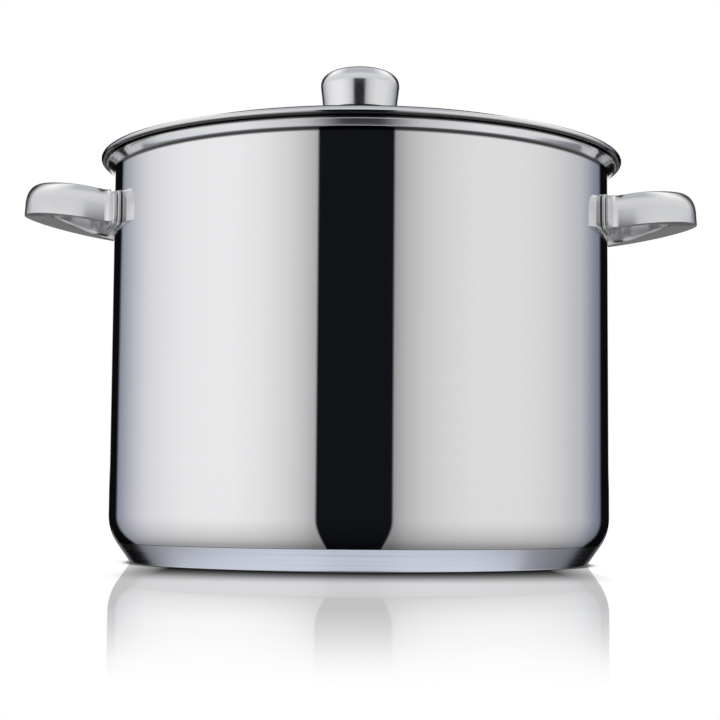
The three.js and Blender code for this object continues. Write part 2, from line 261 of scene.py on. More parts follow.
def lofted(name, rings, closed=False, sharp=SHARP):
    """A skin through rings of points; unless closed, its two ends are capped."""
    count = len(rings[0])
    points = [p for ring in rings for p in ring]
    faces = []
    spans = len(rings) if closed else len(rings) - 1
    for a in range(spans):
        b = (a + 1) % len(rings)
        for i in range(count):
            j = (i + 1) % count
            faces.append([a * count + i, a * count + j, b * count + j, b * count + i])
    if not closed:
        faces.append(list(range(count))[::-1])
        faces.append([(len(rings) - 1) * count + i for i in range(count)])
    return mesh_object(name, points, faces, sharp)


def bent_path(corners, bends, steps=8):
    """A line through the corners with a round bend of the given radius at each."""
    path = [corners[0]]
    for before, here, after, bend in zip(corners, corners[1:], corners[2:], bends):
        back = (before - here).normalized()
        ahead = (after - here).normalized()
        half = back.angle(ahead) / 2
        reach = bend / math.tan(half)
        middle = here + (back + ahead).normalized() * (bend / math.sin(half))
        start = (here + back * reach - middle).normalized()
        end = (here + ahead * reach - middle).normalized()
        for step in range(steps + 1):
            path.append(middle + start.slerp(end, step / steps) * bend)
    path.append(corners[-1])
    return path


def wire_tip(ring, middle, way, radius):
    """Two ever smaller rings beyond the end of a wire, which round it off."""
    tip = []
    for step in (1, 2):
        size = math.cos(math.radians(35 * step))
        shift = way * (radius * WIRE_TIP * math.sin(math.radians(45 * step)))
        tip.append([middle + (p - middle) * size + shift for p in ring])
    return tip


def wire(name, path, radius, closed=False, sides=WIRE_SIDES):
    """A round wire along the path, with slightly rounded ends."""
    count = len(path)
    tangents = []
    for i in range(count):
        before = path[i - 1] if closed or i > 0 else path[i]
        after = path[(i + 1) % count] if closed or i < count - 1 else path[i]
        tangents.append((after - before).normalized())
    turns = [2 * math.pi * k / sides for k in range(sides)]
    side = tangents[0].orthogonal().normalized()
    rings = []
    for middle, tangent in zip(path, tangents):
        side = (side - tangent * side.dot(tangent)).normalized()
        up = tangent.cross(side)
        rings.append([middle + (side * math.cos(turn) + up * math.sin(turn)) * radius for turn in turns])
    if not closed:
        start = wire_tip(rings[0], path[0], -tangents[0], radius)
        end = wire_tip(rings[-1], path[-1], tangents[-1], radius)
        rings = start[::-1] + rings + end
    return lofted(name, rings, closed)


def ring_path(radius, z):
    """A circle about the axis."""
    facets = FINE // 2
    turns = [2 * math.pi * i / facets for i in range(facets)]
    return [Vector((radius * math.cos(t), radius * math.sin(t), z)) for t in turns]


# ---------- materials ----------
class Recipe:
    """A node-based material, with short calls for the nodes that these finishes use."""

    def __init__(self, name):
        self.material = bpy.data.materials.new(name)
        self.material.use_nodes = True
        self.tree = self.material.node_tree
        self.shader = self.tree.nodes["Principled BSDF"]

    def node(self, kind, **settings):
        node = self.tree.nodes.new(kind)
        for key, value in settings.items():
            setattr(node, key, value)
        return node

    def link(self, source, target):
        self.tree.links.new(source, target)

    def feed(self, socket, value):
        """Links another node's output to the socket, or sets the socket's own number or colour."""
        if isinstance(value, bpy.types.NodeSocket):
            self.link(value, socket)
        elif isinstance(value, tuple):
            socket.default_value = (*value, 1)
        else:
            socket.default_value = value

    def math(self, operation, a, b=0.0):
        node = self.node("ShaderNodeMath", operation=operation)
        self.feed(node.inputs[0], a)
        self.feed(node.inputs[1], b)
        return node.outputs[0]

    def product(self, first, *others):
        for other in others:
            first = self.math("MULTIPLY", first, other)
        return first

    def axes(self, vector):
        """The vector's x, y and z."""
        node = self.node("ShaderNodeSeparateXYZ")
        self.link(vector, node.inputs[0])
        return node.outputs

    def off_axis(self, x, y):
        """Distance from the Z axis."""
        return self.math("SQRT", self.math("ADD", self.product(x, x), self.product(y, y)))

    def place(self):
        return self.node("ShaderNodeTexCoord").outputs["Object"]

    def noise(self, vector, scale, detail=3.0, roughness=0.5):
        node = self.node("ShaderNodeTexNoise")
        node.inputs["Scale"].default_value = scale
        node.inputs["Detail"].default_value = detail
        node.inputs["Roughness"].default_value = roughness
        self.link(vector, node.inputs["Vector"])
        return node.outputs["Fac"]

    def spread(self, value, low, high, from_low=0.3, from_high=0.7):
        """The value's span between two limits stretched to run from low to high."""
        node = self.node("ShaderNodeMapRange")
        node.inputs["From Min"].default_value = from_low
        node.inputs["From Max"].default_value = from_high
        node.inputs["To Min"].default_value = low
        node.inputs["To Max"].default_value = high
        self.link(value, node.inputs["Value"])
        return node.outputs["Result"]

    def step(self, value, start, end):
        """0 before the start and 1 past the end, whichever of them is the larger."""
        return self.spread(value, 0.0, 1.0, start, end)

    def blend(self, share, first, second, how="MIX"):
        """Two colours mixed by a share from 0 to 1, or put together in another of the node's ways."""
        node = self.node("ShaderNodeMix", data_type="RGBA", blend_type=how)
        self.feed(node.inputs["Factor"], share)
        self.feed(node.inputs["A"], first)
        self.feed(node.inputs["B"], second)
        return node.outputs["Result"]

    def ramp(self, value, stops):
        """A ramp of grey or coloured stops over 0 to 1."""
        node = self.node("ShaderNodeValToRGB")
        elements = node.color_ramp.elements
        while len(elements) > 1:
            elements.remove(elements[0])
        for i, (place, shade) in enumerate(stops):
            element = elements[0] if i == 0 else elements.new(place)
            element.position = place
            element.color = (*shade, 1) if isinstance(shade, tuple) else (shade, shade, shade, 1)
        self.link(value, node.inputs[0])
        return node.outputs[0]

    def turned_lines(self, around, across):
        """Coordinates that change slowly round the axis and fast across it, as a lathe's polish does."""
        x, y, z = self.axes(self.place())
        joined = self.node("ShaderNodeCombineXYZ")
        self.link(self.product(x, around), joined.inputs[0])
        self.link(self.product(y, around), joined.inputs[1])
        self.link(self.product(self.math("ADD", z, self.off_axis(x, y)), across), joined.inputs[2])
        return joined.outputs[0]

    def bump(self, height, distance):
        node = self.node("ShaderNodeBump")
        node.inputs["Strength"].default_value = 1.0
        node.inputs["Distance"].default_value = distance
        self.link(height, node.inputs["Height"])
        self.link(node.outputs["Normal"], self.shader.inputs["Normal"])

    def set(self, **values):
        for key, value in values.items():
            self.shader.inputs[key.replace("_", " ")].default_value = value
        return self


def lathe_polished(name, dark, light, roughness, anisotropy, crease=None):
    """Sheet steel polished on a lathe: hair-fine rings, painted shade along a crease, and satin above it."""
    steel = Recipe(name).set(Metallic=1.0, Anisotropic=anisotropy, Anisotropic_Rotation=0.25)
    tangent = steel.node("ShaderNodeTangent", direction_type="RADIAL", axis="Z")
    steel.link(tangent.outputs[0], steel.shader.inputs["Tangent"])
    lines = steel.noise(steel.turned_lines(3.0, 900.0), 1.0, detail=5.0, roughness=0.65)
    cloud = steel.noise(steel.place(), 9.0, detail=2.0)
    colour = steel.blend(lines, dark, light)
    rough = steel.math("ADD", steel.spread(lines, *roughness), steel.spread(cloud, -0.012, 0.012))
    if crease:
        height = steel.axes(steel.place())[2]
        away = steel.math("ABSOLUTE", steel.math("SUBTRACT", height, crease))
        # painted shade: the colour darkens towards the crease, where the fold lies in shade
        colour = steel.blend(steel.spread(away, 0.95, 0.0, *PAINTED_CREASE_SPAN), colour, PAINTED_CREASE_SHADE)
        satin = steel.spread(height, 0.0, CREASE_SATIN, crease, crease + SATIN_FADE)
        rough = steel.math("ADD", rough, satin)
    steel.link(colour, steel.shader.inputs["Base Color"])
    steel.link(rough, steel.shader.inputs["Roughness"])
    steel.bump(lines, 0.000002)
    return steel.material


def hand_polished(name, dark, light, roughness, grain=60.0, satin_radius=None):
    """Pressed steel polished by hand: soft clouds and short wandering lines, left satin within a radius."""
    steel = Recipe(name).set(Metallic=1.0)
    stretch = steel.node("ShaderNodeMapping")
    stretch.inputs["Scale"].default_value = (1.0, 1.0, 7.0)
    steel.link(steel.place(), stretch.inputs["Vector"])
    cloud = steel.noise(steel.place(), grain, detail=3.0)
    lines = steel.noise(stretch.outputs[0], grain * 5, detail=4.0, roughness=0.6)
    both = steel.math("ADD", steel.product(cloud, 0.6), steel.product(lines, 0.4))
    steel.link(steel.blend(steel.spread(both, 0, 1), dark, light), steel.shader.inputs["Base Color"])
    rough = steel.spread(both, *roughness)
    if satin_radius:
        x, y, _ = steel.axes(steel.place())
        fade = (satin_radius - SATIN_FADE, satin_radius + SATIN_FADE)
        rough = steel.math("ADD", rough, steel.spread(steel.off_axis(x, y), FOOT_SATIN, 0.0, *fade))
    steel.link(rough, steel.shader.inputs["Roughness"])
    return steel.material


def drawn_wire(name):
    """Chromed wire: bright, with faint drawing marks and a few duller spots."""
    chrome = Recipe(name).set(Metallic=1.0)
    marks = chrome.noise(chrome.place(), 220.0, detail=4.0)
    spots = chrome.noise(chrome.place(), 45.0, detail=2.0)
    colour = chrome.blend(spots, (0.55, 0.56, 0.58), (0.80, 0.81, 0.82))
    chrome.link(colour, chrome.shader.inputs["Base Color"])
    chrome.link(chrome.spread(marks, 0.10, 0.24), chrome.shader.inputs["Roughness"])
    chrome.bump(marks, 0.000003)
    return chrome.material


def clear_glass(name):
    """Tempered lid glass: faintly green, with a hint of haze where it has been wiped."""
    glass = Recipe(name).set(Transmission_Weight=1.0, IOR=1.5)
    wipe = glass.noise(glass.place(), 14.0, detail=3.0)
    colour = glass.blend(wipe, (0.93, 0.97, 0.95), (0.98, 1.0, 0.99))
    glass.link(colour, glass.shader.inputs["Base Color"])
    glass.link(glass.spread(wipe, 0.0, 0.04), glass.shader.inputs["Roughness"])
    return glass.material


def moulded(name, dark, light, roughness, pebble):
    """A moulded rubber or resin: slight mottling and a fine matt skin."""
    resin = Recipe(name)
    skin = resin.noise(resin.place(), pebble, detail=3.0)
    mottle = resin.noise(resin.place(), 40.0, detail=2.0)
    resin.link(resin.blend(mottle, dark, light), resin.shader.inputs["Base Color"])
    resin.link(resin.spread(skin, *roughness), resin.shader.inputs["Roughness"])
    resin.bump(skin, 0.00004)
    return resin.material


def cast_aluminium(name):
    """Bare aluminium: coarse pale grains, quite dull."""
    metal = Recipe(name).set(Metallic=1.0)
    grains = metal.noise(metal.place(), 260.0, detail=5.0)
    colour = metal.blend(grains, (0.50, 0.51, 0.53), (0.72, 0.73, 0.75))
    metal.link(colour, metal.shader.inputs["Base Color"])
    metal.link(metal.spread(grains, 0.38, 0.60), metal.shader.inputs["Roughness"])
    metal.bump(grains, 0.00008)
    return metal.material


SHEET = ((0.79, 0.79, 0.805), (0.83, 0.83, 0.845))  # the polished sheet's darker and lighter grain
CAP_STEEL = ((0.70, 0.71, 0.77), (0.74, 0.75, 0.81))
KNOB_STEEL = ((0.77, 0.775, 0.79), (0.82, 0.82, 0.835))
EAR_STEEL = ((0.78, 0.78, 0.785), (0.83, 0.83, 0.835))
TRIM_STEEL = ((0.70, 0.70, 0.72), (0.80, 0.80, 0.82))
GREY_RUBBER = ((0.10, 0.105, 0.11), (0.16, 0.165, 0.17))
BLACK_RESIN = ((0.006, 0.006, 0.007), (0.014, 0.013, 0.014))
MIRROR = (0.015, 0.032)  # the polished sheet's roughness

finishes = {
    # painted shade: the lid band darkens under its bead, the pot at its flare's crease
    "polished_steel": lathe_polished("polished_steel", *SHEET, MIRROR, 0.3, BEAD_PAINTED_SHADE_Z),
    "pot_steel": lathe_polished("pot_steel", *SHEET, MIRROR, 0.3, FLARE_START),
    "base_steel": lathe_polished("base_steel", *CAP_STEEL, (0.14, 0.20), 0.2),
    "knob_steel": lathe_polished("knob_steel", *KNOB_STEEL, (0.15, 0.20), 0.2),
    "handle_steel": hand_polished("handle_steel", *EAR_STEEL, (0.17, 0.24), 35.0, FLANGE_OUTER),
    "trim_steel": hand_polished("trim_steel", *TRIM_STEEL, (0.18, 0.28)),
    "aluminium_core": cast_aluminium("aluminium_core"),
    "lid_glass": clear_glass("lid_glass"),
    "silicone": moulded("silicone", *GREY_RUBBER, (0.5, 0.7), 900.0),
    "phenolic": moulded("phenolic", *BLACK_RESIN, (0.32, 0.5), 1400.0),
    "rack_wire": drawn_wire("rack_wire"),
}


def fit(piece, body, slot, *nodes, finish=None):
    """Gives a finished piece its body and finish, and hides the CAD nodes it stands for."""
    piece.data.materials.clear()
    piece.data.materials.append(finishes[finish or slot])
    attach(piece, body)
    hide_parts(*nodes)
    return piece


# ---------- pot ----------
corner_centre = (POT_RADIUS - CORNER_RADIUS, CORNER_START)
heel_reach = CORNER_RADIUS - HEEL_RADIUS
heel_centre = (
    corner_centre[0] + heel_reach * math.cos(SEAM_ANGLE),
    corner_centre[1] - heel_reach * math.sin(SEAM_ANGLE),
)
heel_radius = HEEL_RADIUS - CAP_WALL - GAP
floor_under = heel_centre[1] - heel_radius


def flare(inset):
    """The mouth of the shell: a crisp bend, a nearly straight slope and a turned-out lip."""
    line = [(POT_RADIUS, FLARE_START, 0.0)]
    start, lean = 0.0, 0.0
    for length, degrees in FLARE:
        stride = (length - start) / FLARE_STEPS
        for i in range(1, FLARE_STEPS + 1):
            now = math.radians(lean + (degrees - lean) * (i - 0.5) / FLARE_STEPS)
            after = math.radians(lean + (degrees - lean) * i / FLARE_STEPS)
            r, z, _ = line[-1]
            line.append((r + stride * math.sin(now), z + stride * math.cos(now), after))
        start, lean = length, degrees
    return [(r - inset * math.cos(lean), z + inset * math.sin(lean)) for r, z, lean in line]


def shell_side(inset):
    """One side of the shell, from the axis to the lip."""
    ease = HEEL_EASE if inset > 0 else 0
    return [
        (0, floor_under + inset),
        *arc(heel_centre, heel_radius - inset, -QUARTER, -SEAM_ANGLE - ease, 10),
        *arc(corner_centre, CORNER_RADIUS - inset, -SEAM_ANGLE + ease, 0, 16),
        *flare(inset),
    ]


def pot_body():
    outline = shell_side(0) + shell_side(POT_WALL)[::-1]
    fit(turned("pot_body_shell", outline), "pot", "polished_steel", "pot_body", finish="pot_steel")


def base_cap():
    out = Vector((math.cos(-SEAM_ANGLE), math.sin(-SEAM_ANGLE)))
    rim = Vector(corner_centre) + out * CORNER_RADIUS + Vector((out.y, -out.x)) * GAP
    edge_centre = (CAP_BOTTOM_RADIUS - CAP_EDGE, CAP_EDGE)
    outline = [
        (0, 0),
        *arc(edge_centre, CAP_EDGE, -QUARTER, -SEAM_ANGLE, 8),
        tuple(rim),
        tuple(rim - out * CAP_WALL),
        *arc(edge_centre, CAP_EDGE - CAP_WALL, -SEAM_ANGLE, -QUARTER, 8),
        (0, CAP_WALL),
    ]
    fit(turned("base_cap_skin", outline), "pot", "base_steel", "base_cap")


def base_core():
    low, high = CAP_WALL + GAP, floor_under - GAP
    chamfer = [(CORE_RADIUS - CORE_CHAMFER, low), (CORE_RADIUS, low + CORE_CHAMFER)]
    disc = [(0, low), *chamfer, (CORE_RADIUS, high), (0, high)]
    fit(turned("base_core_disc", softened(disc, CORE_EDGE)), "pot", "aluminium_core", "base_core")


# ---------- side handles ----------
def eased(x, span, low, high):
    """Low before the span of x, high after it, and smooth in between."""
    t = min(max((x - span[0]) / (span[1] - span[0]), 0.0), 1.0)
    return low + (high - low) * t * t * (3 - 2 * t)


def ear_half_width(x):
    """Distance of the lower outer edge from the ear's middle plane, as far as the widest place."""
    t = min((x - EAR_ROOT_X) / (EAR_WIDEST_X - EAR_ROOT_X), 1.0)
    return EAR_ROOT_HALF_WIDTH + (EAR_HALF_WIDTH - EAR_ROOT_HALF_WIDTH) * math.sin(QUARTER * t)


def ear_section(x):
    """One ring of the ear across the leg or nose: distance inwards from the lower outer edge, and height."""
    width = eased(x, EAR_WIDTH_SPAN, EAR_LEG_WIDTH, EAR_NOSE_WIDTH)
    power = eased(x, EAR_FACE_SPAN, EAR_LEG_FACE_POWER, EAR_NOSE_FACE_POWER)
    lean = eased(x, EAR_FACE_SPAN, 0.0, EAR_NOSE_LEAN)
    edge = eased(x, EAR_EDGE_SPAN, EAR_LEG_EDGE, EAR_NOSE_EDGE)
    middle = EAR_HEIGHT / 2
    face = []
    for i in range(EAR_FACE_STEPS - 1):
        turn = QUARTER * i / EAR_FACE_STEPS
        inward = width * (1 - math.cos(turn) ** (2 / power))
        up = EAR_HEIGHT * math.sin(turn) ** (2 / power)
        face.append((inward + up * lean * (1 - inward / width), up))
    ridge = (width, EAR_HEIGHT * EAR_RIDGE)
    top = softened([face[-1], ridge, (width, middle)], EAR_TOP_EDGE, 5, closed=False)
    inner = softened([(width, middle), (width, 0), (width / 2, 0)], EAR_INNER_EDGE, 5, closed=False)
    # the rounded lower edge takes the place of the face's first points
    outer = softened([(width / 2, 0), (0, 0), face[4]], edge, 6, closed=False)
    return top[:-1] + inner[:-1] + outer + face[6:-1]


def ear_leg(root_z, rise):
    """Rings of the front leg, which starts inside its flange and widens into it."""
    core = FLANGE_INNER + FLANGE_THICK / 2
    rings = []
    for reach in EAR_LEG_REACHES:
        clear = min(max(reach - FLANGE_THICK / 2, 0.0) / EAR_FILLET, 1.0)
        widening = EAR_FILLET * (1 - math.sqrt(1 - (1 - clear) ** 2))
        x = EAR_ROOT_X + reach
        ring = []
        for inward, up in ear_section(x):
            across = inward / EAR_LEG_WIDTH * 2 - 1
            above = up / EAR_HEIGHT * 2 - 1
            y = -(ear_half_width(x) - inward) + across * widening
            z = root_z + rise * reach + up + above * widening * EAR_FILLET_RISE
            ring.append(Vector((math.sqrt(core ** 2 - y * y) + reach, y, z)))
        rings.append(ring)
    return rings


def ear_line():
    """The nose's lower outer edge in plan, from the front leg round to the back leg."""
    front = [Vector((EAR_NOSE_START, -ear_half_width(EAR_NOSE_START), 0))]
    for i in range(1, EAR_NOSE_STEPS + 1):
        turn = QUARTER * i / EAR_NOSE_STEPS
        x = EAR_WIDEST_X + EAR_NOSE_REACH * math.sin(turn) ** (2 / EAR_NOSE_POWER)
        half_width = EAR_HALF_WIDTH * max(math.cos(turn), 0.0) ** (2 / EAR_NOSE_POWER)
        front.append(Vector((x, -half_width, 0)))
    return front + [Vector((p.x, -p.y, 0)) for p in front[-2::-1]]


def ear_nose(root_z, rise):
    """Rings round the nose, square to its outer edge."""
    line = ear_line()
    rings = []
    for before, here, after in zip([line[0], *line], line, [*line[1:], line[-1]]):
        along = (after - before).normalized()
        outward = Vector((along.y, -along.x, 0))
        z = root_z + rise * (here.x - EAR_ROOT_X)
        section = ear_section(here.x)
        rings.append([here - outward * inward + Vector((0, 0, z + up)) for inward, up in section])
    return rings


def ear(root_z, rise):
    """Rings along one ear, from inside the front flange round the nose to inside the back flange."""
    front = ear_leg(root_z, rise)
    back = [[Vector((p.x, -p.y, p.z)) for p in ring] for ring in front[::-1]]
    return front + ear_nose(root_z, rise) + back


def slab_outline():
    """A square two units wide with rounded corners, as across and up."""
    points = []
    for i in range(SLAB_STEPS):
        angle = 2 * math.pi * i / SLAB_STEPS
        across, up = math.cos(angle), math.sin(angle)
        size = (abs(across) ** SLAB_SQUARENESS + abs(up) ** SLAB_SQUARENESS) ** (1 / SLAB_SQUARENESS)
        points.append((across / size, up / size))
    return points


def slab(name, inner, thick, span, height):
    """A pad that follows the pot wall between two angles, with rounded corners and softened edges."""
    middle, half = (span[0] + span[1]) / 2, (span[1] - span[0]) / 2
    inset = 1 - SLAB_EDGE / (height / 2)
    # depth and size of each ring; the rings inside a face keep it on the wall's curve
    under = [(0, 0.3), (0, 0.7), (0, inset), (SLAB_EDGE, 1)]
    over = [(thick - depth, size) for depth, size in under[::-1]]
    rings = []
    for depth, size in under + over:
        radius = inner + depth
        ring = []
        for across, up in slab_outline():
            turn = middle + half * across * size
            z = FLANGE_Z + up * size * height / 2
            ring.append(Vector((radius * math.cos(turn), radius * math.sin(turn), z)))
        rings.append(ring)
    return lofted(name, rings)


def combined(piece, tool, operation):
    """Joins the tool's shape to the piece, or cuts it out, and removes the tool."""
    boolean = piece.modifiers.new("combine", "BOOLEAN")
    boolean.object = tool
    boolean.operation = operation
    boolean.solver = "EXACT"
    result = piece.evaluated_get(bpy.context.evaluated_depsgraph_get())
    mesh = bpy.data.meshes.new_from_object(result)
    piece.modifiers.clear()
    piece.data = mesh
    mesh.shade_smooth()
    mesh.set_sharp_from_angle(angle=JOINED_SHARP)
    bpy.data.objects.remove(tool)
    return piece


def turned_about(piece, turn):
    piece.data.transform(Matrix.Rotation(turn, 4, "Z"))
    return piece


def mirrored_span(span, sign):
    return span if sign > 0 else (-span[1], -span[0])


def handle(side, turn):
    piece = lofted(f"handle_{side}_ear", ear(*EAR_SET[side]), sharp=EAR_SHARP)
    for sign in (-1, 1):
        span = mirrored_span(FLANGE_SPAN, sign)
        combined(piece, slab("flange", FLANGE_INNER, FLANGE_THICK, span, FLANGE_HEIGHT), "UNION")
    fit(turned_about(piece, turn), "pot", "handle_steel", f"handle_{side}")
    for end, sign in (("front", -1), ("back", 1)):
        span = mirrored_span(PLATE_SPAN, sign if side == "right" else -sign)
        pad = slab(f"handle_pad_{side}_{end}", PLATE_INNER, PLATE_THICK, span, PLATE_HEIGHT)
        fit(turned_about(pad, turn), "pot", "handle_steel", f"handle_plate_{side}_{end}")


# ---------- lid ----------
apex_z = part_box("lid_glass")[1].z
dome_centre = apex_z - DOME_RADIUS


def dome_z(r, lift=0.0):
    return dome_centre + math.sqrt((DOME_RADIUS + lift) ** 2 - r * r)


def dome_line(start, end, lift):
    """Points along the dome between two radii."""
    radii = [start + (end - start) * i / DOME_STEPS for i in range(DOME_STEPS + 1)]
    return [(r, dome_z(r, lift)) for r in radii]


def at_vent(piece):
    """Moves a piece made upright on the axis to sit square on the dome at the vent."""
    tilt = Matrix.Rotation(-math.asin(VENT_OFFSET / DOME_RADIUS), 4, "X")
    out = Matrix.Translation((0, 0, DOME_RADIUS))
    piece.data.transform(Matrix.Translation((0, 0, dome_centre)) @ tilt @ out)
    return piece


def lid_glass():
    end = GLASS_RADIUS - GLASS_EDGE
    under = dome_line(SCREW_HOLE, end, -GLASS_THICK)
    top = dome_line(SCREW_HOLE, end, 0)
    under_edge = (GLASS_RADIUS, dome_z(GLASS_RADIUS, -GLASS_THICK) + GLASS_EDGE)
    top_edge = (GLASS_RADIUS, dome_z(GLASS_RADIUS) - GLASS_EDGE)
    glass = turned("lid_glass_dome", [*under, under_edge, top_edge, *top[::-1]], sharp=GLASS_SHARP)
    hole = [(0, -DRILL_REACH), (VENT_HOLE, -DRILL_REACH), (VENT_HOLE, DRILL_REACH), (0, DRILL_REACH)]
    drill = at_vent(turned("vent_drill", hole, SMALL))
    fit(combined(glass, drill, "DIFFERENCE"), "lid", "lid_glass", "lid_glass")


def vent_grommet():
    top = GAP + VENT_THICK
    bottom = -GLASS_THICK - GAP - VENT_THICK
    barrel = VENT_HOLE - GAP
    outline = [
        (VENT_BORE, bottom),
        (VENT_FLANGE, bottom),
        (VENT_FLANGE, bottom + VENT_THICK),
        (barrel, bottom + VENT_THICK),
        (barrel, GAP),
        (VENT_FLANGE, GAP),
        (VENT_FLANGE, top),
        (VENT_BORE, top),
    ]
    grommet = at_vent(turned("vent_grommet_ring", softened(outline, VENT_EDGE), SMALL))
    fit(grommet, "lid", "trim_steel", "vent_grommet")


seal_inside = GLASS_RADIUS + GAP
seal_outside = seal_inside + SEAL_THICK
seal_top = GAP + SEAL_THICK
seal_under = -GLASS_THICK - seal_top


def lid_seal():
    tip = GLASS_RADIUS - SEAL_LAP
    outline = [
        (tip, dome_z(tip, GAP)),
        (seal_inside, dome_z(seal_inside, GAP)),
        (seal_inside, dome_z(seal_inside, -GLASS_THICK - GAP)),
        (tip, dome_z(tip, -GLASS_THICK - GAP)),
        (tip, dome_z(tip, seal_under)),
        (seal_outside, dome_z(seal_outside, seal_under)),
        (seal_outside, dome_z(seal_outside, seal_top)),
        (tip, dome_z(tip, seal_top)),
    ]
    fit(turned("lid_seal_channel", softened(outline, SEAL_EDGE, 3)), "lid", "silicone", "lid_seal")


def lid_band():
    inside = seal_outside + GAP
    outside = inside + BAND_THICK
    tip = inside - BAND_LAP
    top = seal_top + GAP
    under = seal_under - GAP
    start = -math.pi + math.asin((BEAD_CENTRE[1] - BAND_WEB_Z) / BEAD_RADIUS)
    end = math.pi - math.asin((BAND_WEB_Z + BAND_THICK - BEAD_CENTRE[1]) / BEAD_RADIUS)
    before = [
        (tip, dome_z(tip, top)),
        (inside, dome_z(inside, top)),
        (inside, dome_z(inside, under)),
        (tip, dome_z(tip, under)),
        (tip, dome_z(tip, under - BAND_THICK)),
        (inside, dome_z(inside, under - BAND_THICK)),
        (inside, BAND_SKIRT_Z),
        (outside, BAND_SKIRT_Z),
        (outside, BAND_WEB_Z),
    ]
    after = [
        (outside, BAND_WEB_Z + BAND_THICK),
        (outside, dome_z(outside, top + BAND_THICK)),
        (tip, dome_z(tip, top + BAND_THICK)),
    ]
    bead = arc(BEAD_CENTRE, BEAD_RADIUS, start, end, 24)
    channel = softened(before, BAND_FOLD, 3, closed=False)
    shoulder = softened(after, BAND_SHOULDER, 3, closed=False)
    fit(turned("lid_band_channel", channel + bead + shoulder), "lid", "polished_steel", "lid_band")


# ---------- knob ----------
shell_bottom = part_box("knob_shell")[0].z


def knob_side(inset):
    """One side of the knob's shell, from its foot to the middle of the crown."""
    radius = KNOB_RADIUS - inset
    height = KNOB_CROWN_HEIGHT - inset
    crown = []
    for i in range(KNOB_CROWN_STEPS + 1):
        turn = QUARTER * i / KNOB_CROWN_STEPS
        r = 0.0 if i == KNOB_CROWN_STEPS else radius * math.cos(turn) ** (2 / KNOB_CROWN_POWER)
        crown.append((r, KNOB_CROWN_Z + height * math.sin(turn) ** (2 / KNOB_CROWN_POWER)))
    foot = [(KNOB_FOOT_RADIUS - inset, shell_bottom), (KNOB_WAIST[0] - inset, KNOB_WAIST[1])]
    return softened([*foot, crown[0]], KNOB_WAIST_BEND, 8, closed=False)[:-1] + crown


def off_centre(piece):
    piece.data.transform(Matrix.Translation((KNOB_SHIFT, 0, 0)))
    return piece


def knob_shell():
    shell = off_centre(turned("knob_crown_shell", knob_side(0) + knob_side(KNOB_WALL)[::-1], SMALL))
    fit(shell, "lid", "polished_steel", "knob_shell", finish="knob_steel")


def insert_outline(outer, bottom, top):
    """The moulded core, with a blind hole for the screw."""
    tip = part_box("knob_screw")[1].z + GAP
    return [(0, tip), (KNOB_HOLE, tip), (KNOB_HOLE, bottom), (outer, bottom), (outer, top), (0, top)]


def collar_outline(outer, bottom, top):
    """The base plate, which rises to a neck."""
    plate = [(KNOB_HOLE, bottom), (outer, bottom), (outer, bottom + COLLAR_RIM)]
    neck = [(COLLAR_NECK, top - COLLAR_STEP), (COLLAR_NECK, top), (KNOB_HOLE, top)]
    return plate + neck


def washer_outline(outer, bottom, top):
    return [(KNOB_HOLE, bottom), (outer, bottom), (outer, top), (KNOB_HOLE, top)]


def screw_outline(outer, bottom, top):
    """The screw, its chamfered head downwards."""
    under = bottom + SCREW_HEAD
    head = [(0, bottom), (outer - SCREW_CHAMFER, bottom), (outer, bottom + SCREW_CHAMFER), (outer, under)]
    shank = [(SCREW_SHANK, under), (SCREW_SHANK, top), (0, top)]
    return head + shank


def knob_fittings():
    """What the knob's shell hides or stands on, each turned within its CAD node's box."""
    fittings = (
        ("knob_insert", "knob_insert_plug", "phenolic", insert_outline, KNOB_EDGE),
        ("knob_base", "knob_base_collar", "trim_steel", collar_outline, KNOB_EDGE),
        ("knob_gasket", "knob_gasket_ring", "silicone", washer_outline, WASHER_EDGE),
        ("knob_washer", "knob_washer_ring", "silicone", washer_outline, WASHER_EDGE),
        ("knob_screw", "knob_screw_pin", "trim_steel", screw_outline, SCREW_EDGE),
    )
    for node, name, slot, outline, edge in fittings:
        low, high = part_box(node)
        corners = outline(high.x, low.z, high.z)
        fit(off_centre(turned(name, softened(corners, edge), SMALL)), "lid", slot, node)


# ---------- jar rack ----------
def rack_hoops():
    for node in ("rack_base_ring", "rack_top_ring", "rack_hub_ring", "rack_hub_top_ring"):
        low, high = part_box(node)
        path = ring_path(high.x - WIRE, (low.z + high.z) / 2)
        fit(wire(f"{node}_hoop", path, WIRE, closed=True), "rack", "rack_wire", node)


def rack_floor():
    for i in range(1, FLOOR_WIRES + 1):
        node = f"rack_floor_wire_{i}"
        low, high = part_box(node)
        middle = (low + high) / 2
        places = [low.x + (high.x - low.x) * k / ROD_STEPS for k in range(ROD_STEPS + 1)]
        path = [Vector((x, middle.y, middle.z)) for x in places]
        fit(wire(f"{node}_rod", path, WIRE), "rack", "rack_wire", node)


def rack_dividers():
    outer = [(DIVIDER_OUTER, DIVIDER_FOOT_Z), (DIVIDER_OUTER, DIVIDER_TOP_Z)]
    inner = [(DIVIDER_INNER, DIVIDER_TOP_Z), (DIVIDER_INNER, DIVIDER_FOOT_Z)]
    for i in range(DIVIDERS):
        node = f"rack_divider_{i + 1}"
        turn = Matrix.Rotation(2 * math.pi * (i + 0.5) / DIVIDERS, 4, "Z")
        points = [turn @ Vector((r, 0, z)) for r, z in outer + inner]
        path = bent_path(points, (RACK_BEND, RACK_BEND))
        fit(wire(f"{node}_arch", path, THIN_WIRE), "rack", "rack_wire", node)


